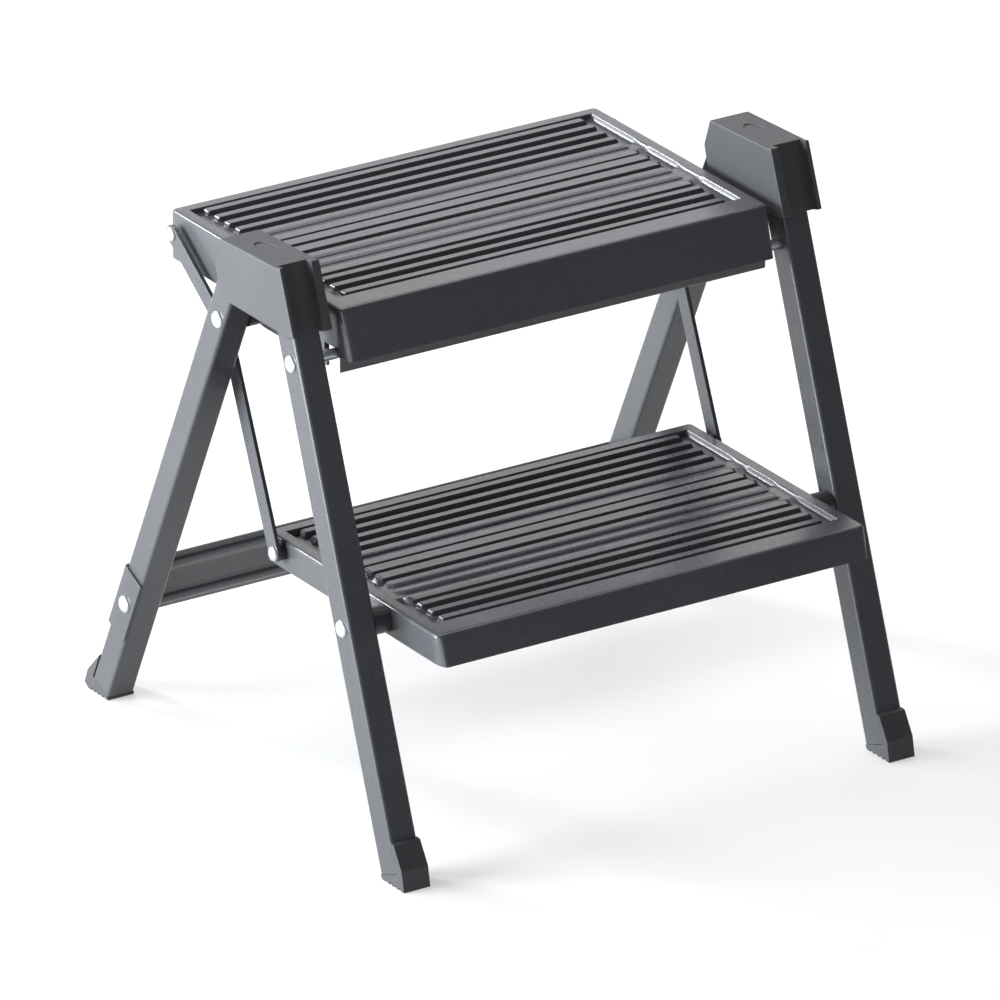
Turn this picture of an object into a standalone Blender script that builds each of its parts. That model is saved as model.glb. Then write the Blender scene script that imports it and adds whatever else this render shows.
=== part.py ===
"""Folding step stool with two pressed steel treads on square tube legs.

The user stands at -Y and faces +Y, +X is to the user's right and +Z is up.
The front legs, their caps and their pins stand still. The rear frame turns
about the hinge inside the caps, the platform turns on the rear frame and rests
on the two support pins, the lower step turns on the front legs, and a bent bar
on each side ties the platform's rear edge to the lower step's rear edge.
"""
import math

import bmesh
import bpy
from mathutils import Matrix, Vector

# All named sizes are in millimetres or degrees.
MM = 0.001
CLEARANCE = 0.3
SIDES = (("left", -1), ("right", 1))

# Treads
TREAD_WIDTH = 360.0
TREAD_DEPTH = 225.0
UPPER_TOP = 385.0
LOWER_TOP = 183.0
UPPER_FLANGE = 36.5
LOWER_FLANGE = 22.0
FLANGE_LEAN = 18.0
TREAD_SHEET = 1.5
TREAD_DECK = 4.5
TREAD_EDGE_RADIUS = 2.5
PANEL_BORDER = 21.0
PANEL_DEPTH = 2.5
RIB_COUNT = 14
RIB_WIDTH = 7.0
RIB_END_GAP = 4.0
LOW_RIB_DROP = 1.0
LOW_RIBS = (3, 4, 5, 8, 9)
UPPER_NOSE = 7.8
LOWER_NOSE = 69.2

# Legs
TUBE = 22.0
TUBE_WALL = 1.5
TUBE_CORNER = 2.0
SIDE_GAP = 14.0
FRONT_LEAN = 20.05
REAR_LEAN = 25.1
LEG_END_HEIGHT = 7.0
REAR_LEG_RISE = 11.5

# Pivots: heights above the floor and distances along the treads
HINGE_HEIGHT = UPPER_TOP + 17.0
HINGE_REACH = 56.0
SUPPORT_HEIGHT = UPPER_TOP - 35.2
FRONT_LEG_TOP = HINGE_HEIGHT + 6.0
PLATFORM_PIVOT_SET = 2.9
UPPER_LINK_INSET = 14.0
UPPER_LINK_DROP = 13.0
LOWER_LINK_INSET = 21.7
LOWER_LINK_DROP = 8.9

# Link bars
LINK_WIDTH = 13.0
LINK_SHEET = 3.0
LINK_SPACER = 5.0
LINK_BEND_SHARE = 0.65
LINK_BEND_OUT = 30.9

# Pins, rivets and bushes
HINGE_PIN_RADIUS = 4.0
SUPPORT_PIN_RADIUS = 4.0
RIVET_RADIUS = 3.0
RIVET_HEAD_RADIUS = 6.5
RIVET_HEAD_HEIGHT = 2.2
LINK_HEAD_RADIUS = 5.5
TAIL_RADIUS = 5.0
TAIL_HEIGHT = 1.8
TAIL_TAPER = 0.8
PIN_TIP_EDGE = 0.5
BUSH_RADIUS = 10.0
SPACER_RADIUS = 6.0
PIN_SEAT_DEPTH = 3.0
SUPPORT_PIN_REACH = 6.0

# Underframe of the platform
CHEEK_SHEET = 2.0
CHEEK_DEPTH = 49.0
CHEEK_CORNER = 2.0
CHEEK_TAIL = 16.0
NOTCH_SLACK = 8.0

# Caps
CAP_OUTER_WALL = 5.7
CAP_INNER_WALL = 4.7
CAP_TOP_WALL = 3.0
CAP_TOP = HINGE_HEIGHT + 18.5
CAP_BOTTOM = HINGE_HEIGHT - 29.5
CAP_TOP_REAR = 7.5
CAP_HEEL_REACH = 8.0
CAP_HEEL_RISE = 1.0
CAP_LIP_RISE = 2.0
CAP_TOP_FALL = 2.2
CAP_FRONT_WALL = 2.2
CAP_LIP = 7.0
CAP_LIP_OUTER = 3.2
CAP_LIP_INNER = 6.8
CAP_REAR_REACH = 14.8
CAP_REAR_DROP = 5.4
CAP_EDGE = 1.0
OVAL_LENGTH = 27.0
OVAL_WIDTH = 13.0
OVAL_DEPTH = 0.8

# Feet
TOE = TUBE / 2 + 6.6
TOE_BEND_HEIGHT = 15.0
TOE_SET_BACK = 3.0
TOE_TOP_HEIGHT = 28.0
TOE_TOP_STAND = 4.0
TOE_TOP_DROP = 0.5
FRONT_SOLE_REAR = TUBE / 2 - 0.1
HEEL = TUBE / 2 + 8.0
HEEL_HEIGHT = 3.5
HEEL_BEND_HEIGHT = 15.0
HEEL_TOP_HEIGHT = 27.5
HEEL_BEND_SET_BACK = 4.8
REAR_SOLE_FRONT = TUBE / 2 + 2.0
REAR_SOLE_REAR = TUBE / 2 + 2.5
SOLE_TEETH = 5
SOLE_GROOVE = 1.5
PLUG_LENGTH = 24.0

# Rear brace
BRACE_WIDTH = 57.0
BRACE_SHEET = 1.5
BRACE_HEIGHT = 86.0
BRACE_EDGE = 1.0

ROUND_STEPS = 24
BORE_STEPS = 20
OVAL_STEPS = 32

# How far a cutting shape runs past the surface that it cuts
PAST = 5.0

# Lateral positions, from the middle plane outwards
TREAD_HALF = TREAD_WIDTH / 2
LEG_INNER = TREAD_HALF + SIDE_GAP
LEG_OUTER = LEG_INNER + TUBE
LINK_INNER = TREAD_HALF + LINK_SPACER
LINK_OUTER = LINK_INNER + LINK_SHEET
CAP_INNER = LEG_INNER - CLEARANCE - CAP_INNER_WALL
CAP_OUTER = LEG_OUTER + CLEARANCE + CAP_OUTER_WALL
CHEEK_OUTER = TREAD_HALF - TREAD_SHEET - CLEARANCE
CHEEK_INNER = CHEEK_OUTER - CHEEK_SHEET

# The hinge's place along Y centres the stool between its toes and its heels.
FRONT_SLOPE = math.tan(math.radians(FRONT_LEAN))
FRONT_COSINE = math.cos(math.radians(FRONT_LEAN))
REAR_SLOPE = math.tan(math.radians(REAR_LEAN))
REAR_SINE = math.sin(math.radians(REAR_LEAN))
REAR_COSINE = math.cos(math.radians(REAR_LEAN))
REAR_LEG_TOP = (REAR_LEG_RISE - TUBE / 2 * REAR_SINE) / REAR_COSINE
BRACE_BELOW_HINGE = (HINGE_HEIGHT - BRACE_HEIGHT) / REAR_COSINE
FRONT_RUN = HINGE_REACH + HINGE_HEIGHT * FRONT_SLOPE + TOE
REAR_RUN = HINGE_HEIGHT * REAR_SLOPE + HEEL
HINGE_Y = (FRONT_RUN - REAR_RUN) / 2


def front_axis_y(height):
    """Y of the front legs' centre line at a height."""
    return HINGE_Y - HINGE_REACH - (HINGE_HEIGHT - height) * FRONT_SLOPE


def rear_axis_y(height):
    """Y of the rear legs' centre line at a height."""
    return HINGE_Y + (HINGE_HEIGHT - height) * REAR_SLOPE


# Pivot points in the side plane, as (y, z)
HINGE = (HINGE_Y, HINGE_HEIGHT)
SUPPORT = (front_axis_y(SUPPORT_HEIGHT), SUPPORT_HEIGHT)
STEP_HEIGHT = LOWER_TOP - LOWER_FLANGE / 2
STEP_PIVOT = (front_axis_y(STEP_HEIGHT), STEP_HEIGHT)
PLATFORM_PIVOT = (rear_axis_y(SUPPORT_HEIGHT) - PLATFORM_PIVOT_SET, SUPPORT_HEIGHT)
UPPER_FRONT = SUPPORT[0] - UPPER_NOSE
LOWER_FRONT = STEP_PIVOT[0] - LOWER_NOSE
UPPER_LINK = (UPPER_FRONT + TREAD_DEPTH - UPPER_LINK_INSET, UPPER_TOP - UPPER_LINK_DROP)
LOWER_LINK = (LOWER_FRONT + TREAD_DEPTH - LOWER_LINK_INSET, LOWER_TOP - LOWER_LINK_DROP)
BRACE_RIVET = (rear_axis_y(BRACE_HEIGHT), BRACE_HEIGHT)

FRONT_FRAME = Matrix.Translation((0, front_axis_y(0) * MM, 0)) @ Matrix.Rotation(
    -math.radians(FRONT_LEAN), 4, "X"
)
REAR_FRAME = Matrix.Translation((0, HINGE_Y * MM, HINGE_HEIGHT * MM)) @ Matrix.Rotation(
    math.radians(REAR_LEAN), 4, "X"
)

for leftover in list(bpy.data.objects):
    bpy.data.objects.remove(leftover, do_unlink=True)

parts = bpy.data.collections.new("step_stool")
cutters = bpy.data.collections.new("cutters")
for group in (parts, cutters):
    bpy.context.scene.collection.children.link(group)


def material(name, color, roughness, metallic):
    """A Principled material of one colour."""
    made = bpy.data.materials.new(name)
    made.use_nodes = True
    shader = made.node_tree.nodes["Principled BSDF"]
    shader.inputs["Base Color"].default_value = (*color, 1)
    shader.inputs["Roughness"].default_value = roughness
    shader.inputs["Metallic"].default_value = metallic
    made.diffuse_color = (*color, 1)
    return made


POWDER_COAT = material("powder_coat", (0.075, 0.077, 0.084), 0.42, 0.3)
DARK_PLASTIC = material("dark_plastic", (0.05, 0.052, 0.058), 0.6, 0.0)
BLACK_NYLON = material("black_nylon", (0.015, 0.015, 0.016), 0.5, 0.0)
ZINC = material("zinc", (0.78, 0.8, 0.83), 0.28, 1.0)


def joint_empty(name, x, point):
    """An empty on a joint's axis, which the pieces that turn together hang from."""
    empty = bpy.data.objects.new(name, None)
    empty.location = (x * MM, point[0] * MM, point[1] * MM)
    empty.empty_display_size = 0.03
    parts.objects.link(empty)
    return empty


def settle(obj, parent=None, finish=None):
    """Puts a finished piece among the parts, under its joint's empty."""
    parts.objects.link(obj)
    if finish is not None:
        obj.data.materials.append(finish)
    if parent is not None:
        obj.parent = parent
        obj.matrix_parent_inverse = Matrix.Translation(parent.location).inverted()
    return obj


def box(name, low, high, frame=None, edge=0.0, along=None):
    """A box between two corners, with its edges rounded; along=2 rounds only those along Z."""
    shape = bmesh.new()
    bmesh.ops.create_cube(shape, size=1)
    low = Vector(low) * MM
    high = Vector(high) * MM
    bmesh.ops.scale(shape, vec=high - low, verts=shape.verts)
    bmesh.ops.translate(shape, vec=(low + high) / 2, verts=shape.verts)
    if edge > 0:
        chosen = shape.edges[:]
        if along is not None:
            ways = [(e, (e.verts[0].co - e.verts[1].co).normalized()) for e in chosen]
            chosen = [e for e, way in ways if abs(way[along]) > 0.99]
        bmesh.ops.bevel(shape, geom=chosen, offset=edge * MM, segments=2, profile=0.5, affect="EDGES")
    mesh = bpy.data.meshes.new(name)
    shape.to_mesh(mesh)
    shape.free()
    if frame is not None:
        mesh.transform(frame)
    return bpy.data.objects.new(name, mesh)


def prism(name, outline, x_low, x_high, edge=0.0):
    """A flat outline of (y, z) points, drawn as a curve and given a thickness along X."""
    curve = bpy.data.curves.new(name, "CURVE")
    curve.dimensions = "2D"
    curve.fill_mode = "BOTH"
    curve.extrude = (x_high - x_low) / 2 * MM
    spline = curve.splines.new("POLY")
    spline.points.add(len(outline) - 1)
    for point, (y, z) in zip(spline.points, outline):
        point.co = (y * MM, z * MM, 0, 1)
    spline.use_cyclic_u = True
    drawn = bpy.data.objects.new(name, curve)
    bpy.context.scene.collection.objects.link(drawn)
    bpy.context.view_layer.update()
    evaluated = drawn.evaluated_get(bpy.context.evaluated_depsgraph_get())
    mesh = bpy.data.meshes.new_from_object(evaluated)
    bpy.data.objects.remove(drawn, do_unlink=True)
    shape = bmesh.new()
    shape.from_mesh(mesh)
    bmesh.ops.remove_doubles(shape, verts=shape.verts, dist=0.00001)
    if edge > 0:
        bmesh.ops.dissolve_limit(shape, angle_limit=0.01, verts=shape.verts, edges=shape.edges)
        sharp = [e for e in shape.edges if e.calc_face_angle(0) > 0.5]
        bmesh.ops.bevel(shape, geom=sharp, offset=edge * MM, segments=2, profile=0.5, affect="EDGES")
    shape.to_mesh(mesh)
    shape.free()
    to_side_plane = Matrix(((0, 0, 1, 0), (1, 0, 0, 0), (0, 1, 0, 0), (0, 0, 0, 1)))
    mesh.transform(Matrix.Translation(((x_low + x_high) / 2 * MM, 0, 0)) @ to_side_plane)
    mesh.name = name
    return bpy.data.objects.new(name, mesh)


def cylinder(name, radius, x_low, x_high, point):
    """A plain round bar along X."""
    shape = bmesh.new()
    bmesh.ops.create_cone(
        shape, cap_ends=True, segments=BORE_STEPS, radius1=radius * MM, radius2=radius * MM,
        depth=abs(x_high - x_low) * MM,
    )
    mesh = bpy.data.meshes.new(name)
    shape.to_mesh(mesh)
    shape.free()
    middle = (x_low + x_high) / 2
    place = Matrix.Translation((middle * MM, point[0] * MM, point[1] * MM))
    mesh.transform(place @ Matrix.Rotation(math.pi / 2, 4, "Y"))
    return bpy.data.objects.new(name, mesh)


def turned(name, profile, sign, point, parent, finish, closed=False):
    """A turned piece about X; profile holds (distance from the middle, radius), outer end first."""
    mesh = bpy.data.meshes.new(name)
    corners = [(radius * MM, 0, out * MM) for out, radius in profile]
    edges = [(i, i + 1) for i in range(len(corners) - 1)]
    if closed:
        edges.append((len(corners) - 1, 0))
    mesh.from_pydata(corners, edges, [])
    obj = bpy.data.objects.new(name, mesh)
    place = Matrix.Translation((0, point[0] * MM, point[1] * MM))
    obj.matrix_world = place @ Matrix.Rotation(sign * math.pi / 2, 4, "Y")
    screw = obj.modifiers.new("turn", "SCREW")
    screw.axis = "Z"
    screw.steps = ROUND_STEPS
    screw.render_steps = ROUND_STEPS
    screw.use_merge_vertices = True
    screw.merge_threshold = 0.00001
    screw.use_smooth_shade = True
    return settle(obj, parent, finish)


def boolean(obj, tool, operation="DIFFERENCE"):
    """Cuts a tool out of a piece, or joins it on, and keeps the tool among the cutters."""
    cutters.objects.link(tool)
    tool.hide_render = True
    tool.display_type = "WIRE"
    cut = obj.modifiers.new(tool.name, "BOOLEAN")
    cut.object = tool
    cut.operation = operation
    cut.solver = "EXACT"
    return obj


def bore(obj, name, radius, x_low, x_high, point):
    """A round hole along X."""
    return boolean(obj, cylinder(name, radius, x_low, x_high, point))


def arc(centre, radius, start, stop, steps):
    """Points along an arc in the side plane, from one angle to another, in degrees."""
    turns = [math.radians(start + (stop - start) * i / steps) for i in range(steps + 1)]
    return [(centre[0] + radius * math.cos(t), centre[1] + radius * math.sin(t)) for t in turns]


def head_profile(outer, head_radius):
    """A domed head that stands on a face."""
    seat = outer + CLEARANCE
    top = seat + RIVET_HEAD_HEIGHT
    return [
        (top, 0),
        (top - 0.12 * RIVET_HEAD_HEIGHT, head_radius * 0.45),
        (top - 0.45 * RIVET_HEAD_HEIGHT, head_radius * 0.85),
        (seat, head_radius),
    ]


def rivet_profile(outer, inner, radius, head_radius, tail_radius):
    """A domed head outside, a shank and a flat tail head, between two clamped faces."""
    tail = inner - CLEARANCE
    return head_profile(outer, head_radius) + [
        (outer + CLEARANCE, radius),
        (tail, radius),
        (tail, tail_radius),
        (tail - TAIL_HEIGHT, tail_radius * TAIL_TAPER),
        (tail - TAIL_HEIGHT, 0),
    ]


def bush_profile(outer, inner, radius, hole):
    """A plain ring between two faces."""
    return [
        (outer - CLEARANCE, radius),
        (inner + CLEARANCE, radius),
        (inner + CLEARANCE, hole),
        (outer - CLEARANCE, hole),
    ]


def leg(name, sign, frame, low, high, parent):
    """A square tube along the frame's Z, open at both ends."""
    middle = sign * (LEG_INNER + LEG_OUTER) / 2
    half = TUBE / 2
    room = half - TUBE_WALL
    tube = box(name, (middle - half, -half, low), (middle + half, half, high), frame, TUBE_CORNER, 2)
    corners = ((middle - room, -room, low - PAST), (middle + room, room, high + PAST))
    hollow = box(name + "_hollow", *corners, frame)
    return boolean(settle(tube, parent, POWDER_COAT), hollow)


def leg_bore(tube, name, sign, radius, point):
    """A hole through both walls of a leg."""
    ends = (sign * (LEG_INNER - PAST), sign * (LEG_OUTER + PAST))
    return bore(tube, name, radius + CLEARANCE, *ends, point)


def foot(name, sign, frame, outline, low, parent):
    """A plastic foot: the grooved shoe and the plug that holds it in the leg."""
    shoe = prism(name, outline, *sorted((sign * LEG_INNER, sign * LEG_OUTER)))
    middle = sign * (LEG_INNER + LEG_OUTER) / 2
    room = TUBE / 2 - TUBE_WALL - CLEARANCE
    plug = box(
        name + "_plug",
        (middle - room, -room, low - TUBE_WALL),
        (middle + room, room, low + PLUG_LENGTH),
        frame,
    )
    boolean(settle(shoe, parent, DARK_PLASTIC), plug, "UNION")
    front, rear = outline[0][0], outline[1][0]
    ends = (sign * (LEG_INNER - PAST), sign * (LEG_OUTER + PAST))
    for groove in range(1, SOLE_TEETH):
        middle = front + groove * (rear - front) / SOLE_TEETH
        bore(shoe, f"{name}_groove_{groove}", SOLE_GROOVE, *ends, (middle, 0))
    return shoe


def along_leg(frame, across, height):
    """The (y, z) point at a place across and along a leg's frame."""
    point = frame @ Vector((0, across * MM, height * MM))
    return (point.y / MM, point.z / MM)


def front_foot_outline(low):
    """Side outline of a front foot, from its toe round to the leg's front face."""
    axis = front_axis_y(0)
    face = TUBE / 2 + CLEARANCE
    height = TOE_TOP_HEIGHT / FRONT_COSINE
    top = along_leg(FRONT_FRAME, -face, height)
    return [
        (axis - TOE, 0),
        (axis + FRONT_SOLE_REAR, 0),
        along_leg(FRONT_FRAME, TUBE / 2, low - CLEARANCE),
        along_leg(FRONT_FRAME, -face, low - CLEARANCE),
        top,
        (top[0] - TOE_TOP_STAND, top[1] - TOE_TOP_DROP),
        (axis - TOE + TOE_SET_BACK, TOE_BEND_HEIGHT),
    ]


def rear_foot_outline(low):
    """Side outline of a rear foot, from the leg's front edge round to its heel."""
    axis = rear_axis_y(0)
    face = TUBE / 2 + CLEARANCE
    height = -(HINGE_HEIGHT - HEEL_TOP_HEIGHT) / REAR_COSINE
    return [
        (axis - REAR_SOLE_FRONT, 0),
        (axis + REAR_SOLE_REAR, 0),
        (axis + HEEL, HEEL_HEIGHT),
        (axis + HEEL - HEEL_BEND_SET_BACK, HEEL_BEND_HEIGHT),
        along_leg(REAR_FRAME, face, height),
        along_leg(REAR_FRAME, face, low - CLEARANCE),
        along_leg(REAR_FRAME, -TUBE / 2, low - CLEARANCE),
    ]


def tread(name, front, top, flange, parent):
    """A pressed tread: a recessed ribbed panel, a plain border and flanges on four sides."""
    lean = math.tan(math.radians(FLANGE_LEAN))
    rear = front + TREAD_DEPTH
    outline = [(front - lean * flange, top - flange), (rear, top - flange), (rear, top), (front, top)]
    pan = settle(prism(name, outline, -TREAD_HALF, TREAD_HALF, TREAD_EDGE_RADIUS), parent, POWDER_COAT)
    sheet = TREAD_SHEET
    deck = top - TREAD_DECK
    below = top - flange - PAST
    inside = [
        (front + sheet - lean * (flange + PAST), below),
        (rear - sheet, below),
        (rear - sheet, deck),
        (front + sheet - lean * TREAD_DECK, deck),
    ]
    boolean(pan, prism(name + "_inside", inside, sheet - TREAD_HALF, TREAD_HALF - sheet))
    x_end = TREAD_HALF - PANEL_BORDER
    y_low = front + PANEL_BORDER
    y_high = rear - PANEL_BORDER
    floor = top - PANEL_DEPTH
    boolean(pan, box(name + "_panel", (-x_end, y_low, floor), (x_end, y_high, top + PAST)))
    pitch = (y_high - y_low) / (RIB_COUNT + 1)
    rib_end = x_end - RIB_END_GAP
    for rib in range(RIB_COUNT):
        middle = y_low + (rib + 1) * pitch
        crest = top - (LOW_RIB_DROP if rib in LOW_RIBS else 0)
        low = (-rib_end, middle - RIB_WIDTH / 2, floor - CLEARANCE)
        high = (rib_end, middle + RIB_WIDTH / 2, crest)
        boolean(pan, box(f"{name}_rib_{rib + 1}", low, high), "UNION")
    return pan


def notch(obj, name, x_inner, x_outer):
    """Slots open downwards, one at each side, that drop over the support pins."""
    reach = SUPPORT_PIN_RADIUS + CLEARANCE
    for side, sign in SIDES:
        x_low, x_high = sorted((sign * x_inner, sign * x_outer))
        low = (x_low, SUPPORT[0] - reach, UPPER_TOP - CHEEK_DEPTH - PAST)
        high = (x_high, SUPPORT[0] + reach + NOTCH_SLACK, SUPPORT_HEIGHT + reach)
        boolean(obj, box(f"{name}_{side}", low, high))
    return obj


def bar_outline(points, width, steps=6):
    """Outline of a flat bar with round ends that bends at its middle point."""
    start, bend, end = (Vector(p) for p in points)
    half = width / 2
    first = (bend - start).normalized()
    second = (end - bend).normalized()
    miter = (first + second).normalized()
    reach = half / miter.dot(first)
    normal = Vector((-miter.y, miter.x))
    lean = math.degrees(math.atan2(first.y, first.x))
    tip = math.degrees(math.atan2(second.y, second.x))
    outline = arc(start, half, lean + 90, lean + 270, steps)
    outline.append(tuple(bend - normal * reach))
    outline += arc(end, half, tip - 90, tip + 90, steps)
    outline.append(tuple(bend + normal * reach))
    return outline


def cap(side, sign):
    """The plastic cap that holds a front leg's top and the rear leg's hinge pin."""
    name = f"leg_cap_{side}"
    fall = math.tan(math.radians(CAP_TOP_FALL))
    face = TUBE / 2 + CLEARANCE + CAP_FRONT_WALL
    low_front = front_axis_y(CAP_BOTTOM) - face / FRONT_COSINE
    high_front = front_axis_y(CAP_TOP) - face / FRONT_COSINE
    rear = HINGE_Y + CAP_REAR_REACH
    crown = CAP_TOP - (rear - high_front) * fall
    outline = [
        (low_front - CAP_LIP, CAP_BOTTOM + CAP_LIP_RISE),
        (low_front, CAP_BOTTOM),
        (HINGE_Y - CAP_HEEL_REACH, CAP_BOTTOM),
        (HINGE_Y + CAP_HEEL_REACH, CAP_BOTTOM + CAP_HEEL_RISE),
        (rear, HINGE_HEIGHT - CAP_REAR_DROP),
        (HINGE_Y + CAP_TOP_REAR, crown),
        (high_front - CAP_LIP_RISE, CAP_TOP),
        (high_front - CAP_LIP, CAP_TOP + CAP_EDGE),
    ]
    x_low, x_high = sorted((sign * CAP_INNER, sign * CAP_OUTER))
    shell = settle(prism(name, outline, x_low, x_high, CAP_EDGE), None, DARK_PLASTIC)
    lip = (sign * (CAP_INNER + CAP_LIP_INNER), sign * (CAP_OUTER - CAP_LIP_OUTER))
    below = CAP_BOTTOM - 2 * PAST
    above = CAP_TOP + 2 * PAST
    ahead = low_front - 6 * PAST
    shade = [
        (ahead, below),
        (front_axis_y(below) - face / FRONT_COSINE, below),
        (front_axis_y(above) - face / FRONT_COSINE, above),
        (ahead, above),
    ]
    boolean(shell, prism(name + "_recess", shade, *sorted(lip)))
    front = (TUBE / 2 + CLEARANCE) / FRONT_COSINE
    nose = front_axis_y(CAP_TOP - CAP_TOP_WALL) - front
    tail = rear + PAST
    pocket = [
        (front_axis_y(below) - front, below),
        (tail, below),
        (tail, CAP_TOP - (tail - high_front) * fall - CAP_TOP_WALL),
        (nose, CAP_TOP - (nose - high_front) * fall - CAP_TOP_WALL),
    ]
    room = (sign * (LEG_INNER - CLEARANCE), sign * (LEG_OUTER + CLEARANCE))
    boolean(shell, prism(name + "_pocket", pocket, *sorted(room)))
    seat = (LEG_INNER - CLEARANCE - PIN_SEAT_DEPTH, LEG_OUTER + CLEARANCE + PIN_SEAT_DEPTH)
    bore(shell, name + "_seat", HINGE_PIN_RADIUS + CLEARANCE, sign * seat[0], sign * seat[1], HINGE)
    middle = (high_front + HINGE_Y + CAP_TOP_REAR) / 2
    oval = bmesh.new()
    bmesh.ops.create_cone(oval, cap_ends=True, segments=OVAL_STEPS, radius1=0.5, radius2=0.5, depth=1)
    stretch = Matrix.Diagonal((OVAL_WIDTH * MM, OVAL_LENGTH * MM, 2 * OVAL_DEPTH * MM, 1))
    tilt = Matrix.Rotation(-math.radians(CAP_TOP_FALL), 4, "X")
    height = CAP_TOP - (middle - high_front) * fall
    place = Matrix.Translation((sign * (CAP_INNER + CAP_OUTER) / 2 * MM, middle * MM, height * MM))
    bmesh.ops.transform(oval, matrix=place @ tilt @ stretch, verts=oval.verts)
    mesh = bpy.data.meshes.new(name + "_oval")
    oval.to_mesh(mesh)
    oval.free()
    return boolean(shell, bpy.data.objects.new(name + "_oval", mesh))


def front_side(side, sign):
    """One front leg with its foot, cap, pins and bush."""
    low = LEG_END_HEIGHT / FRONT_COSINE
    high = FRONT_LEG_TOP / FRONT_COSINE
    tube = leg(f"front_leg_{side}", sign, FRONT_FRAME, low, high, None)
    leg_bore(tube, f"support_hole_{side}", sign, SUPPORT_PIN_RADIUS, SUPPORT)
    leg_bore(tube, f"step_hole_{side}", sign, RIVET_RADIUS, STEP_PIVOT)
    foot(f"front_foot_{side}", sign, FRONT_FRAME, front_foot_outline(low), low, None)
    cap(side, sign)
    tip = TREAD_HALF - SUPPORT_PIN_REACH
    pin = head_profile(LEG_OUTER, RIVET_HEAD_RADIUS) + [
        (LEG_OUTER + CLEARANCE, SUPPORT_PIN_RADIUS),
        (tip + PIN_TIP_EDGE, SUPPORT_PIN_RADIUS),
        (tip, SUPPORT_PIN_RADIUS - PIN_TIP_EDGE),
        (tip, 0),
    ]
    turned(f"platform_support_pin_{side}", pin, sign, SUPPORT, None, ZINC)
    rivet = rivet_profile(LEG_OUTER, TREAD_HALF - TREAD_SHEET, RIVET_RADIUS, RIVET_HEAD_RADIUS, TAIL_RADIUS)
    turned(f"step_rivet_{side}", rivet, sign, STEP_PIVOT, None, ZINC)
    ring = bush_profile(LEG_INNER, TREAD_HALF, BUSH_RADIUS, RIVET_RADIUS + CLEARANCE)
    turned(f"step_bush_{side}", ring, sign, STEP_PIVOT, None, BLACK_NYLON, closed=True)
    reach = PIN_SEAT_DEPTH - CLEARANCE
    outer = LEG_OUTER + CLEARANCE + reach
    inner = LEG_INNER - CLEARANCE - reach
    hinge = [(outer, 0), (outer, HINGE_PIN_RADIUS), (inner, HINGE_PIN_RADIUS), (inner, 0)]
    turned(f"hinge_pin_{side}", hinge, sign, HINGE, None, ZINC)


def rear_side(side, sign, parent):
    """One rear leg with its foot, the platform's rivet and bush, and the brace rivet."""
    low = -(HINGE_HEIGHT - LEG_END_HEIGHT) / REAR_COSINE
    tube = leg(f"rear_leg_{side}", sign, REAR_FRAME, low, REAR_LEG_TOP, parent)
    leg_bore(tube, f"hinge_hole_{side}", sign, HINGE_PIN_RADIUS, HINGE)
    leg_bore(tube, f"platform_hole_{side}", sign, RIVET_RADIUS, PLATFORM_PIVOT)
    leg_bore(tube, f"brace_hole_{side}", sign, RIVET_RADIUS, BRACE_RIVET)
    foot(f"rear_foot_{side}", sign, REAR_FRAME, rear_foot_outline(low), low, parent)
    rivet = rivet_profile(LEG_OUTER, CHEEK_INNER, RIVET_RADIUS, RIVET_HEAD_RADIUS, TAIL_RADIUS)
    turned(f"platform_rivet_{side}", rivet, sign, PLATFORM_PIVOT, parent, ZINC)
    ring = bush_profile(LEG_INNER, TREAD_HALF, BUSH_RADIUS, RIVET_RADIUS + CLEARANCE)
    turned(f"platform_bush_{side}", ring, sign, PLATFORM_PIVOT, parent, BLACK_NYLON, closed=True)
    wrap = LEG_OUTER + CLEARANCE + BRACE_SHEET
    rivet = rivet_profile(wrap, LEG_INNER, RIVET_RADIUS, RIVET_HEAD_RADIUS, TAIL_RADIUS)
    turned(f"brace_rivet_{side}", rivet, sign, BRACE_RIVET, parent, ZINC)


def rear_brace(parent):
    """A sheet across the back of the rear legs whose ends wrap round their outer faces."""
    wrap = LEG_OUTER + CLEARANCE + BRACE_SHEET
    back = TUBE / 2 + CLEARANCE
    low = -BRACE_BELOW_HINGE - BRACE_WIDTH / 2
    high = -BRACE_BELOW_HINGE + BRACE_WIDTH / 2
    corners = ((-wrap, -TUBE / 2, low), (wrap, back + BRACE_SHEET, high))
    sheet = box("rear_brace", *corners, REAR_FRAME, BRACE_EDGE, 2)
    settle(sheet, parent, POWDER_COAT)
    room = wrap - BRACE_SHEET
    boolean(sheet, box("brace_room", (-room, -TUBE, low - PAST), (room, back, high + PAST), REAR_FRAME))
    for side, sign in SIDES:
        hole = RIVET_RADIUS + CLEARANCE
        ends = (sign * LEG_OUTER, sign * (wrap + PAST))
        bore(sheet, f"brace_bore_{side}", hole, *ends, BRACE_RIVET)


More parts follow.
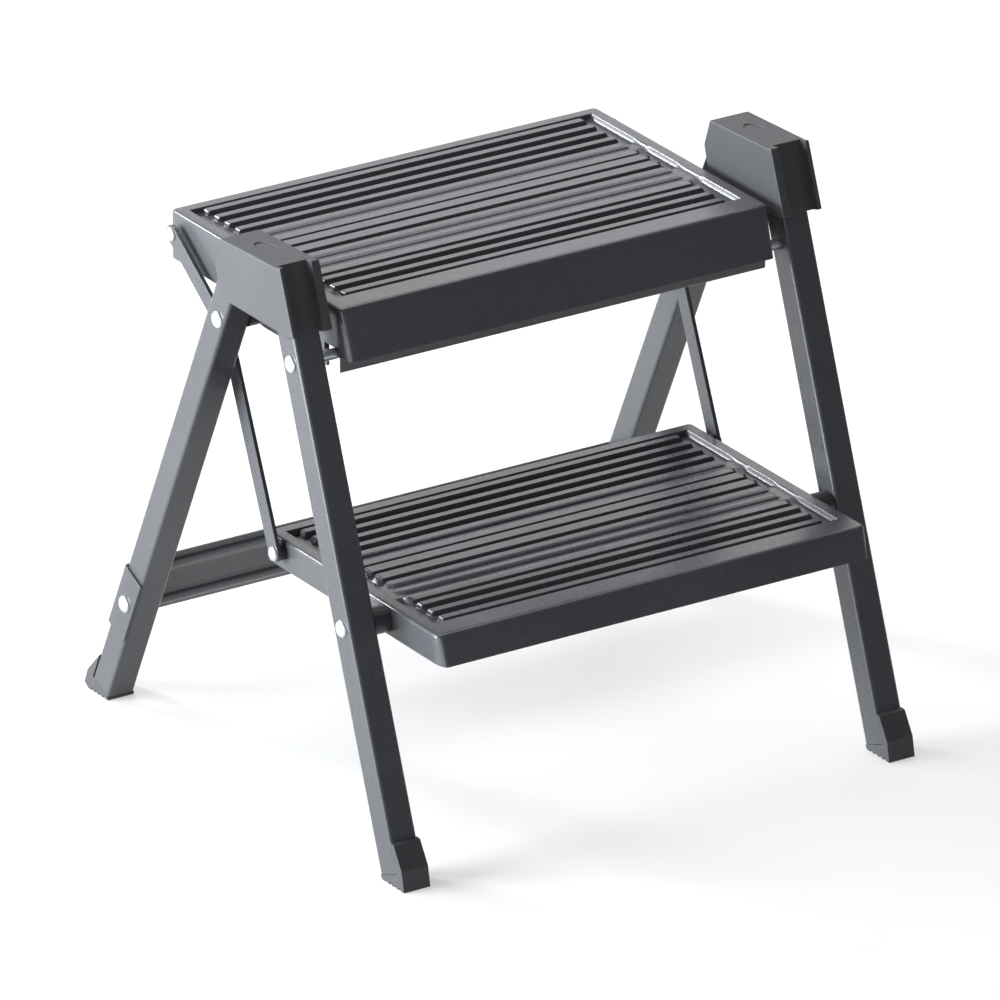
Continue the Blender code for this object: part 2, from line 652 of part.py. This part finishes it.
def underframe(parent):
    """The platform's carrier: a wall behind the front flange and a cheek inside each side flange."""
    top = UPPER_TOP - TREAD_DECK - CLEARANCE
    low = UPPER_TOP - CHEEK_DEPTH
    front = UPPER_FRONT + TREAD_SHEET + CLEARANCE
    rear = PLATFORM_PIVOT[0] + CHEEK_TAIL
    outline = [(front, top)]
    outline += arc((front + CHEEK_CORNER, low + CHEEK_CORNER), CHEEK_CORNER, 180, 270, 4)
    outline += arc((rear - CHEEK_TAIL, low + CHEEK_TAIL), CHEEK_TAIL, 270, 360, 5)
    outline.append((rear, top))
    sheet = settle(prism("platform_underframe", outline, -CHEEK_OUTER, CHEEK_OUTER), parent, POWDER_COAT)
    room_low = (-CHEEK_INNER, front + CHEEK_SHEET, low - PAST)
    boolean(sheet, box("underframe_room", room_low, (CHEEK_INNER, rear + PAST, top + PAST)))
    notch(sheet, "underframe_notch", CHEEK_INNER - PAST, CHEEK_OUTER + PAST)
    for side, sign in SIDES:
        hole = RIVET_RADIUS + CLEARANCE
        ends = (sign * (CHEEK_INNER - PAST), sign * (CHEEK_OUTER + PAST))
        bore(sheet, f"underframe_bore_{side}", hole, *ends, PLATFORM_PIVOT)


def link(side, sign):
    """The bent bar of one side, with its upper rivet; it turns on the lower step's rivet."""
    parent = joint_empty(f"link_axis_{side}", sign * LINK_INNER, LOWER_LINK)
    start = Vector(LOWER_LINK)
    span = Vector(UPPER_LINK) - start
    across = Vector((-span.y, span.x)).normalized()
    bend = start + span * LINK_BEND_SHARE + across * LINK_BEND_OUT
    outline = bar_outline((start, bend, UPPER_LINK), LINK_WIDTH)
    faces = sorted((sign * LINK_INNER, sign * LINK_OUTER))
    bar = settle(prism(f"link_bar_{side}", outline, *faces), parent, POWDER_COAT)
    hole = RIVET_RADIUS + CLEARANCE
    for end, point in (("lower", LOWER_LINK), ("upper", UPPER_LINK)):
        bore(bar, f"link_{end}_hole_{side}", hole, faces[0] - PAST, faces[1] + PAST, point)
    rivet = rivet_profile(LINK_OUTER, LINK_INNER, RIVET_RADIUS, LINK_HEAD_RADIUS, TAIL_RADIUS)
    turned(f"link_upper_rivet_{side}", rivet, sign, UPPER_LINK, parent, ZINC)


def lower_step(parent):
    """The lower tread with the rivets and spacers that carry the link bars."""
    pan = tread("lower_tread", LOWER_FRONT, LOWER_TOP, LOWER_FLANGE, parent)
    for side, sign in SIDES:
        ends = (sign * (TREAD_HALF - PAST), sign * (TREAD_HALF + PAST))
        hole = RIVET_RADIUS + CLEARANCE
        bore(pan, f"step_bore_{side}", hole, *ends, STEP_PIVOT)
        bore(pan, f"link_bore_{side}", hole, *ends, LOWER_LINK)
        inner = TREAD_HALF - TREAD_SHEET
        rivet = rivet_profile(LINK_OUTER, inner, RIVET_RADIUS, LINK_HEAD_RADIUS, TAIL_RADIUS * TAIL_TAPER)
        turned(f"link_lower_rivet_{side}", rivet, sign, LOWER_LINK, parent, ZINC)
        ring = bush_profile(LINK_INNER, TREAD_HALF, SPACER_RADIUS, hole)
        turned(f"link_spacer_{side}", ring, sign, LOWER_LINK, parent, BLACK_NYLON, closed=True)


def platform(parent):
    """The upper tread and its underframe."""
    pan = tread("upper_tread", UPPER_FRONT, UPPER_TOP, UPPER_FLANGE, parent)
    notch(pan, "tread_notch", TREAD_HALF - PAST, TREAD_HALF + PAST)
    for side, sign in SIDES:
        ends = (sign * (TREAD_HALF - PAST), sign * (TREAD_HALF + PAST))
        bore(pan, f"platform_bore_{side}", RIVET_RADIUS + 2 * CLEARANCE, *ends, PLATFORM_PIVOT)
    underframe(parent)


def build():
    """The whole stool, standing open."""
    rear_axis = joint_empty("rear_frame_axis", 0, HINGE)
    platform_axis = joint_empty("platform_axis", 0, PLATFORM_PIVOT)
    step_axis = joint_empty("step_axis", 0, STEP_PIVOT)
    for side, sign in SIDES:
        front_side(side, sign)
        rear_side(side, sign, rear_axis)
        link(side, sign)
    rear_brace(rear_axis)
    platform(platform_axis)
    lower_step(step_axis)


build()
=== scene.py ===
"""Looks of the folding step stool: pressed treads, ribbed brace, finishes, light and camera."""
import math

import bmesh
import bpy
from mathutils import Matrix, Vector


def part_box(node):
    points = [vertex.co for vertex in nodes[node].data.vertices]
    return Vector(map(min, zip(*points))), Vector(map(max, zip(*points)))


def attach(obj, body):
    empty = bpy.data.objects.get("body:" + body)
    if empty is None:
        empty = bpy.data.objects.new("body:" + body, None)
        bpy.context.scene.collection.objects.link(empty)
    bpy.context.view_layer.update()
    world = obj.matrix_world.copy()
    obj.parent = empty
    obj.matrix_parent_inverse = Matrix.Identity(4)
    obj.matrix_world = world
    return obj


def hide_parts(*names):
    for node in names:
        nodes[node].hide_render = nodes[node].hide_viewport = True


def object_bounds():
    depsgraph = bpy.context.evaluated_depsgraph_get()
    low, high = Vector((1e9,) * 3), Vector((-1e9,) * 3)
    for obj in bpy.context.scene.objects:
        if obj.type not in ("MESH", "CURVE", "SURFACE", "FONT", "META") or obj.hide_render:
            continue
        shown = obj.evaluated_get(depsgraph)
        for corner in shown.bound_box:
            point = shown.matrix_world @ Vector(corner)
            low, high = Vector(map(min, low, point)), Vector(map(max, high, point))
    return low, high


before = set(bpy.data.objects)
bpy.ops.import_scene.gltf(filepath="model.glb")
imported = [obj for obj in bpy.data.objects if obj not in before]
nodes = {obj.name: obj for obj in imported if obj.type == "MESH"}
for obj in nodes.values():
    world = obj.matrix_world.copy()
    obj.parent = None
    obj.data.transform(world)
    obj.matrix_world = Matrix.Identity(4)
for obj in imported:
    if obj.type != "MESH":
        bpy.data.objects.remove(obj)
cad_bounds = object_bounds()

MM = 0.001

# Pressed treads, in millimetres
SHEET = 1.5
SIDE_BORDER = 10.0
FRONT_BORDER = 20.5
REAR_BORDER = 10.0
CORNER = 4.5
EDGE_RADIUS = 2.5
FRONT_LEAN = 18.0
FLANGES = {"upper_tread": 36.5, "lower_tread": 22.0}
RIM_WIDTH = 1.6
RIB_COUNT = 14
FIRST_RIB = 28.0
RIB_PITCH = 13.9
RIB_END_GAP = 8.0
RIB_ROUNDING = 1.4
DEEP_FLOOR = 3.9
SHALLOW_FLOOR = 2.1
HIGH_CREST = 0.3
LOW_CREST = 1.0
HIGH_HALF = 4.2
LOW_HALF = 6.1
LOW_RIBS = (3, 4, 5, 8, 9)
MIDDLE_RIBS = (6, 7)
SUPPORT_PIN_RADIUS = 4.0
PIN_GAP = 0.6
PIN_SLACK = 8.0
PLATFORM_HOLE_RADIUS = 3.6
STEP_HOLE_RADIUS = 3.5
FLANGE_MIDDLE = 0.4
FLANGE_LIP = 0.6

# Rear brace, in millimetres
REAR_LEAN = 25.1
BRACE_WIDTH = 57.0
BRACE_BEND = 2.2
BEAD_PLACE = 19.0
BEAD_HALF = 4.5
BEAD_DEPTH = 2.4
BEAD_END = 184.0
BEAD_FADE = 5.0
BEAD_SLOPE = 1.6
LEG = 22.0
LEG_GAP = 0.3
BRACE_HOLE_RADIUS = 3.4

# Meshes: the closest and the widest spacing of points in millimetres, and the steps of arcs
TREAD_SPACING_X = (0.75, 60.0)
TREAD_SPACING_Y = (0.45, 4.0)
BRACE_SPACING_X = (1.25, 40.0)
BRACE_SPACING_W = (0.6, 6.0)
FADE_MARGIN = 1.0
WALL_MARGIN = 0.5
ARC_STEPS = 6
CUT_PAST = 5.0
DRILL_SIDES = 24
SHARP_ANGLE = 38

# Noise: its usual roughness, and the band of it that is spread over a whole range
NOISE_ROUGHNESS = 0.55
BAND_LOW = 0.3
BAND_HIGH = 0.7

# Floor, in metres
FLOOR_REACH = 30.0
FLOOR_DROP = 0.0004

# Camera, in degrees, metres and millimetres of lens
CAMERA_AZIMUTH = -32.883
CAMERA_ELEVATION = 23.188
CAMERA_DISTANCE = 10.835
CAMERA_TARGET = (-0.02885, -0.04797, 0.19591)
CAMERA_LENS = 550.8
CAMERA_SENSOR = 36.0
CAMERA_CLIP_END = 100.0


# Finishes

def new_material(name):
    """An empty Principled material, with its tree, shader and object coordinates."""
    made = bpy.data.materials.new(name)
    made.use_nodes = True
    tree = made.node_tree
    shader = tree.nodes["Principled BSDF"]
    place = tree.nodes.new("ShaderNodeTexCoord").outputs["Object"]
    return made, tree, shader, place


def noise(tree, place, scale, detail=3.0):
    """A noise texture in object space; scale is in grains a metre."""
    grain = tree.nodes.new("ShaderNodeTexNoise")
    grain.inputs["Scale"].default_value = scale
    grain.inputs["Detail"].default_value = detail
    grain.inputs["Roughness"].default_value = NOISE_ROUGHNESS
    tree.links.new(place, grain.inputs["Vector"])
    return grain.outputs["Fac"]


def spread(tree, factor, low, high):
    """Maps the middle band of a factor to a range."""
    ranged = tree.nodes.new("ShaderNodeMapRange")
    ranged.inputs["From Min"].default_value = BAND_LOW
    ranged.inputs["From Max"].default_value = BAND_HIGH
    ranged.inputs["To Min"].default_value = low
    ranged.inputs["To Max"].default_value = high
    tree.links.new(factor, ranged.inputs["Value"])
    return ranged.outputs["Result"]


def tint(tree, factor, dark, light):
    """A colour between two, by the middle band of a factor."""
    ramp = tree.nodes.new("ShaderNodeValToRGB")
    ramp.color_ramp.elements[0].position = BAND_LOW
    ramp.color_ramp.elements[0].color = (*dark, 1)
    ramp.color_ramp.elements[1].position = BAND_HIGH
    ramp.color_ramp.elements[1].color = (*light, 1)
    tree.links.new(factor, ramp.inputs["Fac"])
    return ramp.outputs["Color"]


def relief(tree, shader, height, strength, depth, rounding):
    """Fine bump, over softly rounded edges where a rounding is given."""
    bump = tree.nodes.new("ShaderNodeBump")
    bump.inputs["Strength"].default_value = strength
    bump.inputs["Distance"].default_value = depth
    tree.links.new(height, bump.inputs["Height"])
    if rounding > 0:
        soft = tree.nodes.new("ShaderNodeBevel")
        soft.samples = 6
        soft.inputs["Radius"].default_value = rounding
        tree.links.new(soft.outputs["Normal"], bump.inputs["Normal"])
    tree.links.new(bump.outputs["Normal"], shader.inputs["Normal"])


def powder_coat():
    """Anthracite powder coat: satin, with orange peel and faint clouding."""
    made, tree, shader, place = new_material("anthracite_powder_coat")
    clouds = noise(tree, place, scale=9.0)
    speckle = noise(tree, place, scale=2600.0, detail=1.0)
    speckle_share = 0.35
    mixed = tree.nodes.new("ShaderNodeMath")
    mixed.operation = "MULTIPLY_ADD"
    mixed.inputs[1].default_value = speckle_share
    tree.links.new(speckle, mixed.inputs[0])
    scaled = tree.nodes.new("ShaderNodeMath")
    scaled.operation = "MULTIPLY"
    scaled.inputs[1].default_value = 1 - speckle_share
    tree.links.new(clouds, scaled.inputs[0])
    tree.links.new(scaled.outputs[0], mixed.inputs[2])
    colour = tint(
        tree, mixed.outputs[0], dark=(0.042, 0.0435, 0.048), light=(0.054, 0.056, 0.061),
    )
    tree.links.new(colour, shader.inputs["Base Color"])
    roughness = spread(tree, noise(tree, place, scale=240.0), low=0.26, high=0.34)
    tree.links.new(roughness, shader.inputs["Roughness"])
    shader.inputs["Metallic"].default_value = 0.15
    shader.inputs["Specular IOR Level"].default_value = 0.45
    grain = noise(tree, place, scale=900.0, detail=2.0)
    relief(tree, shader, grain, strength=0.12, depth=0.0004, rounding=0.0007)
    return made


def dark_plastic():
    """Moulded plastic with a fine matte grain."""
    made, tree, shader, place = new_material("grained_plastic")
    patches = noise(tree, place, scale=14.0)
    colour = tint(tree, patches, dark=(0.029, 0.030, 0.033), light=(0.036, 0.0375, 0.041))
    tree.links.new(colour, shader.inputs["Base Color"])
    roughness = spread(tree, noise(tree, place, scale=500.0), low=0.48, high=0.6)
    tree.links.new(roughness, shader.inputs["Roughness"])
    shader.inputs["Specular IOR Level"].default_value = 0.4
    grain = noise(tree, place, scale=1500.0, detail=2.0)
    relief(tree, shader, grain, strength=0.25, depth=0.0004, rounding=0.0006)
    return made


def black_nylon():
    """Black bushes and spacers with faint turning marks."""
    made, tree, shader, place = new_material("turned_nylon")
    patches = noise(tree, place, scale=60.0)
    colour = tint(tree, patches, dark=(0.012, 0.012, 0.013), light=(0.02, 0.02, 0.021))
    tree.links.new(colour, shader.inputs["Base Color"])
    roughness = spread(tree, noise(tree, place, scale=700.0), low=0.35, high=0.5)
    tree.links.new(roughness, shader.inputs["Roughness"])
    grain = noise(tree, place, scale=1800.0, detail=1.0)
    relief(tree, shader, grain, strength=0.15, depth=0.0003, rounding=0.0)
    return made


def zinc():
    """Bright zinc-plated steel with small scuffs."""
    made, tree, shader, place = new_material("bright_zinc")
    patches = noise(tree, place, scale=300.0)
    colour = tint(tree, patches, dark=(0.40, 0.415, 0.44), light=(0.5, 0.515, 0.54))
    tree.links.new(colour, shader.inputs["Base Color"])
    roughness = spread(tree, noise(tree, place, scale=900.0), low=0.3, high=0.42)
    tree.links.new(roughness, shader.inputs["Roughness"])
    shader.inputs["Metallic"].default_value = 0.85
    grain = noise(tree, place, scale=1200.0, detail=2.0)
    relief(tree, shader, grain, strength=0.1, depth=0.0003, rounding=0.0005)
    return made


finishes = {
    "powder_coat": powder_coat(),
    "dark_plastic": dark_plastic(),
    "black_nylon": black_nylon(),
    "zinc": zinc(),
}


# Meshes

def piece(name, points, faces, body, replaced, cutters):
    """A sheet-metal piece: given its thickness, cut, smoothed and put in a CAD node's place."""
    mesh = bpy.data.meshes.new(name)
    mesh.from_pydata([Vector(p) * MM for p in points], [], faces)
    obj = bpy.data.objects.new(name, mesh)
    bpy.context.scene.collection.objects.link(obj)
    solid = obj.modifiers.new("sheet", "SOLIDIFY")
    solid.thickness = SHEET * MM
    solid.offset = -1
    for tool in cutters:
        cut = obj.modifiers.new("cut", "BOOLEAN")
        cut.object = tool
        cut.solver = "EXACT"
    bpy.context.view_layer.update()
    evaluated = obj.evaluated_get(bpy.context.evaluated_depsgraph_get())
    final = bpy.data.meshes.new_from_object(evaluated)
    obj.modifiers.clear()
    obj.data = final
    for tool in cutters:
        bpy.data.objects.remove(tool, do_unlink=True)
    final.materials.clear()
    final.materials.append(finishes["powder_coat"])
    for face in final.polygons:
        face.use_smooth = True
    final.set_sharp_from_angle(angle=math.radians(SHARP_ANGLE))
    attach(obj, body)
    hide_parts(replaced)


def block(name, low, high):
    """A cutting block between two corners in millimetres."""
    shape = bmesh.new()
    bmesh.ops.create_cube(shape, size=1)
    low = Vector(low) * MM
    high = Vector(high) * MM
    bmesh.ops.scale(shape, vec=high - low, verts=shape.verts)
    bmesh.ops.translate(shape, vec=(low + high) / 2, verts=shape.verts)
    mesh = bpy.data.meshes.new(name)
    shape.to_mesh(mesh)
    shape.free()
    obj = bpy.data.objects.new(name, mesh)
    bpy.context.scene.collection.objects.link(obj)
    return obj


def drill(name, radius, x_low, x_high, middle):
    """A round cutter along X, through a (y, z) point in millimetres."""
    shape = bmesh.new()
    bmesh.ops.create_cone(
        shape, cap_ends=True, segments=DRILL_SIDES, radius1=radius * MM, radius2=radius * MM,
        depth=abs(x_high - x_low) * MM,
    )
    mesh = bpy.data.meshes.new(name)
    shape.to_mesh(mesh)
    shape.free()
    place = Matrix.Translation(((x_low + x_high) / 2 * MM, middle[0] * MM, middle[1] * MM))
    mesh.transform(place @ Matrix.Rotation(math.pi / 2, 4, "Y"))
    obj = bpy.data.objects.new(name, mesh)
    bpy.context.scene.collection.objects.link(obj)
    return obj


def smooth(value):
    """A soft step from 0 to 1."""
    value = min(max(value, 0.0), 1.0)
    return value * value * (3 - 2 * value)


def rib_depth(x, y, x_end, first):
    """How deep the pressed panel lies at a place inside its rim."""
    index = min(max(round((y - first) / RIB_PITCH), 0), RIB_COUNT - 1)
    middle = first + index * RIB_PITCH
    low = index in LOW_RIBS
    half = LOW_HALF if low or index in MIDDLE_RIBS else HIGH_HALF
    crest = LOW_CREST if low else HIGH_CREST
    neighbour = index + (1 if y > middle else -1)
    shallow = low and neighbour in LOW_RIBS
    floor = SHALLOW_FLOOR if shallow else DEEP_FLOOR
    past = max(abs(x) - (x_end - RIB_END_GAP - half), 0.0)
    distance = math.hypot(past, y - middle)
    return crest + (floor - crest) * smooth((distance - half + RIB_ROUNDING) / RIB_ROUNDING)


def stations(low, high, fine, step, fades):
    """Places between two ends: close together near each of the fades, wide apart elsewhere."""
    found = {low, high}
    for start, stop in fades:
        count = max(2, round((stop - start) / fine))
        found.update(start + (stop - start) * i / count for i in range(count + 1))
    inside = sorted(v for v in found if low <= v <= high)
    places = [inside[0]]
    for value in inside[1:]:
        gap = value - places[-1]
        parts = max(1, round(gap / step))
        places += [places[-1] + gap * (i + 1) / parts for i in range(parts)]
    return places


def tread(name, body, cutters):
    """A pressed tread with a rounded rim, ribs that end round, and flanges on four sides."""
    low, high = (Vector(c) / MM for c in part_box(name))
    flange = FLANGES[name]
    lean = math.tan(math.radians(FRONT_LEAN))
    half = high.x
    top = high.z
    rear = high.y
    front = low.y + lean * flange
    x_end = half - SIDE_BORDER
    y_low = front + FRONT_BORDER
    y_high = rear - REAR_BORDER
    first = front + FIRST_RIB
    far = x_end + FADE_MARGIN
    near = x_end - RIB_END_GAP - HIGH_HALF - LOW_HALF
    ends = [(-far, -near), (near, far)]
    xs = stations(CORNER - half, half - CORNER, *TREAD_SPACING_X, ends)
    walls = [
        (y_low - WALL_MARGIN, y_low + RIM_WIDTH),
        (y_high - RIM_WIDTH, y_high + WALL_MARGIN),
    ]
    for rib in range(RIB_COUNT):
        middle = first + rib * RIB_PITCH
        reach = LOW_HALF if rib in LOW_RIBS or rib in MIDDLE_RIBS else HIGH_HALF
        walls.append((middle - reach, middle - reach + RIB_ROUNDING))
        walls.append((middle + reach - RIB_ROUNDING, middle + reach))
    ys = stations(front + CORNER, rear - CORNER, *TREAD_SPACING_Y, walls)
    points = []
    for y in ys:
        for x in xs:
            inset = min(x_end - abs(x), y - y_low, y_high - y)
            depth = 0.0
            if inset > 0:
                depth = rib_depth(x, y, x_end, first) * smooth(inset / RIM_WIDTH)
            points.append((x, y, top - depth))
    wide = len(xs)
    tall = len(ys)
    faces = []
    for row in range(tall - 1):
        for column in range(wide - 1):
            start = row * wide + column
            faces.append((start, start + 1, start + wide + 1, start + wide))
    corners = [0, wide - 1, tall * wide - 1, (tall - 1) * wide]
    sides = [
        list(range(1, wide - 1)),
        [row * wide + wide - 1 for row in range(1, tall - 1)],
        [(tall - 1) * wide + column for column in range(wide - 2, 0, -1)],
        [row * wide for row in range(tall - 2, 0, -1)],
    ]
    inner = []
    outward = []
    for number, side in enumerate(sides):
        turn = -180 + 90 * number
        for step in range(ARC_STEPS + 1):
            inner.append(corners[number])
            outward.append(math.radians(turn + 90 * step / ARC_STEPS))
        for index in side:
            inner.append(index)
            outward.append(math.radians(turn + 90))
    profile = [(CORNER - EDGE_RADIUS, 0.0)]
    for step in range(1, ARC_STEPS + 1):
        angle = math.radians(90 * step / ARC_STEPS)
        outwards = CORNER - EDGE_RADIUS * (1 - math.sin(angle))
        profile.append((outwards, EDGE_RADIUS * (1 - math.cos(angle))))
    for drop in (flange * FLANGE_MIDDLE, flange - FLANGE_LIP, flange):
        profile.append((CORNER, drop))
    previous = inner
    for reach, drop in profile:
        ring = []
        for index, angle in zip(inner, outward):
            base = points[index]
            ahead = max(-math.sin(angle), 0.0) * lean * drop
            ring.append(len(points))
            points.append((
                base[0] + reach * math.cos(angle),
                base[1] + reach * math.sin(angle) - ahead,
                top - drop,
            ))
        count = len(ring)
        for i in range(count):
            j = (i + 1) % count
            if previous[i] == previous[j]:
                faces.append((previous[i], ring[i], ring[j]))
            else:
                faces.append((previous[i], ring[i], ring[j], previous[j]))
        previous = ring
    piece(name + "_pressed", points, faces, body, name, cutters)


def middle_of(node):
    """The (y, z) middle of a node, in millimetres."""
    low, high = (Vector(c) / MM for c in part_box(node))
    return ((low.y + high.y) / 2, (low.z + high.z) / 2)


def upper_tread():
    """The platform, with notches over its support pins and holes for its rivets."""
    low, high = (Vector(c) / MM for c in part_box("upper_tread"))
    pin = middle_of("platform_support_pin_left")
    rivet = middle_of("platform_rivet_left")
    reach = SUPPORT_PIN_RADIUS + PIN_GAP
    cutters = []
    for sign in (-1, 1):
        x_low, x_high = sorted((sign * (high.x - CUT_PAST), sign * (high.x + CUT_PAST)))
        corner = (x_high, pin[0] + reach + PIN_SLACK, pin[1] + reach)
        cutters.append(block("notch", (x_low, pin[0] - reach, low.z - CUT_PAST), corner))
        cutters.append(drill("hole", PLATFORM_HOLE_RADIUS, x_low, x_high, rivet))
    tread("upper_tread", "platform", cutters)


def lower_tread():
    """The lower step, with holes for its own rivets and the link bars' rivets."""
    high = Vector(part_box("lower_tread")[1]) / MM
    cutters = []
    for sign in (-1, 1):
        x_low, x_high = sorted((sign * (high.x - CUT_PAST), sign * (high.x + CUT_PAST)))
        for node in ("step_rivet_left", "link_lower_rivet_left"):
            middle = middle_of(node)
            cutters.append(drill("hole", STEP_HOLE_RADIUS, x_low, x_high, middle))
    tread("lower_tread", "lower_step", cutters)


def rear_brace():
    """The sheet across the rear legs, with two pressed beads and ends that wrap round."""
    half = Vector(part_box("rear_brace")[1]).x / MM
    leg = LEG / 2
    back = leg + LEG_GAP + SHEET
    place = Vector((0, *middle_of("brace_rivet_left")))
    axis_y, axis_z = place.y, place.z
    lean = math.radians(REAR_LEAN)
    path = []
    fades = [(BEAD_END - BEAD_FADE, BEAD_END)]
    for x in stations(0, half - BRACE_BEND, *BRACE_SPACING_X, fades):
        path.append((x, back, 0, 1))
    for step in range(1, ARC_STEPS + 1):
        angle = math.radians(90 * step / ARC_STEPS)
        x = half - BRACE_BEND * (1 - math.sin(angle))
        y = back - BRACE_BEND * (1 - math.cos(angle))
        path.append((x, y, math.sin(angle), math.cos(angle)))
    path += [(half, 0, 1, 0), (half, -leg, 1, 0)]
    path = [(-x, y, -nx, ny) for x, y, nx, ny in reversed(path[1:])] + path
    beads = [(sign * BEAD_PLACE - BEAD_HALF, sign * BEAD_PLACE + BEAD_HALF) for sign in (-1, 1)]
    across = stations(-BRACE_WIDTH / 2, BRACE_WIDTH / 2, *BRACE_SPACING_W, beads)
    points = []
    for x, y, nx, ny in path:
        fade = smooth((BEAD_END - abs(x)) / BEAD_FADE)
        for w in across:
            offset = (abs(w) - BEAD_PLACE) / BEAD_HALF
            bead = BEAD_DEPTH * fade * smooth((1 - abs(offset)) * BEAD_SLOPE)
            local_y = y - ny * bead
            world_y = axis_y + local_y * math.cos(lean) - w * math.sin(lean)
            world_z = axis_z + local_y * math.sin(lean) + w * math.cos(lean)
            points.append((x - nx * bead, world_y, world_z))
    wide = len(across)
    faces = []
    for row in range(len(path) - 1):
        for column in range(wide - 1):
            start = row * wide + column
            faces.append((start, start + 1, start + wide + 1, start + wide))
    cutters = []
    for sign in (-1, 1):
        x_from, x_to = sign * (half - CUT_PAST), sign * (half + CUT_PAST)
        cutters.append(drill("hole", BRACE_HOLE_RADIUS, x_from, x_to, (axis_y, axis_z)))
    piece("rear_brace_beaded", points, faces, "rear_frame", "rear_brace", cutters)


def finish_frame():
    """Gives each CAD node the full finish of its slot."""
    for obj in nodes.values():
        for entry in obj.material_slots:
            name = entry.material.name.split(".")[0]
            entry.material = finishes[name]


# Stage

def area_light(name, place, aim, size, power, colour):
    """A rectangular soft light that faces a point."""
    lamp = bpy.data.lights.new(name, "AREA")
    lamp.shape = "RECTANGLE"
    lamp.size, lamp.size_y = size
    lamp.energy = power
    lamp.color = colour
    obj = bpy.data.objects.new(name, lamp)
    obj.location = place
    obj.rotation_euler = (Vector(aim) - Vector(place)).to_track_quat("-Z", "Y").to_euler()
    bpy.context.scene.collection.objects.link(obj)


def floor():
    """A wide pale floor under the feet."""
    mesh = bpy.data.meshes.new("floor")
    corners = [(-1, -1), (1, -1), (1, 1), (-1, 1)]
    points = [(x * FLOOR_REACH, y * FLOOR_REACH, 0) for x, y in corners]
    mesh.from_pydata(points, [], [(0, 1, 2, 3)])
    obj = bpy.data.objects.new("floor", mesh)
    obj.location.z = cad_bounds[0][2] - FLOOR_DROP
    bpy.context.scene.collection.objects.link(obj)
    made, tree, shader, place = new_material("pale_floor")
    patches = noise(tree, place, scale=2.0)
    colour = tint(tree, patches, dark=(0.36, 0.36, 0.36), light=(0.38, 0.38, 0.38))
    tree.links.new(colour, shader.inputs["Base Color"])
    shader.inputs["Roughness"].default_value = 0.9
    shader.inputs["Specular IOR Level"].default_value = 0.1
    shader.inputs["Emission Color"].default_value = (1, 1, 1, 1)
    shader.inputs["Emission Strength"].default_value = 0.45
    mesh.materials.append(made)


def surroundings():
    """A white background with a dimmer light of its own."""
    world = bpy.data.worlds.new("studio")
    world.use_nodes = True
    tree = world.node_tree
    tree.nodes.clear()
    out = tree.nodes.new("ShaderNodeOutputWorld")
    mix = tree.nodes.new("ShaderNodeMixShader")
    rays = tree.nodes.new("ShaderNodeLightPath")
    soft = tree.nodes.new("ShaderNodeBackground")
    soft.inputs["Color"].default_value = (0.9, 0.95, 1.0, 1)
    soft.inputs["Strength"].default_value = 0.2
    white = tree.nodes.new("ShaderNodeBackground")
    white.inputs["Color"].default_value = (1, 1, 1, 1)
    white.inputs["Strength"].default_value = 1.0
    tree.links.new(rays.outputs["Is Camera Ray"], mix.inputs["Fac"])
    tree.links.new(soft.outputs["Background"], mix.inputs[1])
    tree.links.new(white.outputs["Background"], mix.inputs[2])
    tree.links.new(mix.outputs["Shader"], out.inputs["Surface"])
    bpy.context.scene.world = world


def camera():
    """A long lens at the view's angle."""
    azimuth = math.radians(CAMERA_AZIMUTH)
    elevation = math.radians(CAMERA_ELEVATION)
    back = Vector((
        math.sin(azimuth) * math.cos(elevation),
        -math.cos(azimuth) * math.cos(elevation),
        math.sin(elevation),
    ))
    lens = bpy.data.cameras.new("camera")
    lens.sensor_width = CAMERA_SENSOR
    lens.lens = CAMERA_LENS
    lens.clip_end = CAMERA_CLIP_END
    obj = bpy.data.objects.new("camera", lens)
    obj.location = Vector(CAMERA_TARGET) + back * CAMERA_DISTANCE
    obj.rotation_euler = (-back).to_track_quat("-Z", "Y").to_euler()
    bpy.context.scene.collection.objects.link(obj)
    bpy.context.scene.camera = obj


finish_frame()
upper_tread()
lower_tread()
rear_brace()
floor()
surroundings()
camera()
area_light(
    "left", place=(-2.8, 0.9, 0.75), aim=(0, 0, 0.2),
    size=(2.0, 1.6), power=370.0, colour=(0.93, 0.97, 1.0),
)
area_light(
    "top", place=(0.4, 0.9, 3.0), aim=(0, 0, 0.2),
    size=(2.4, 2.4), power=70.0, colour=(1.0, 1.0, 1.0),
)
area_light(
    "rear", place=(1.7, 2.7, 1.6), aim=(0, 0, 0.3),
    size=(2.6, 1.6), power=24.0, colour=(1.0, 0.99, 1.0),
)
area_light(
    "edge", place=(-1.5, 2.7, 1.8), aim=(0, 0, 0.3),
    size=(0.6, 0.6), power=105.0, colour=(0.97, 0.98, 1.0),
)
area_light(
    "corner", place=(-2.5, -1.6, 0.4), aim=(0, 0, 0.2),
    size=(0.4, 0.8), power=14.0, colour=(0.95, 0.97, 1.0),
)
area_light(
    "front", place=(-0.8, -3.2, 1.4), aim=(0, 0, 0.2),
    size=(1.4, 1.4), power=5.0, colour=(1.0, 0.99, 0.97),
)
bpy.context.scene.view_settings.view_transform = "Standard"
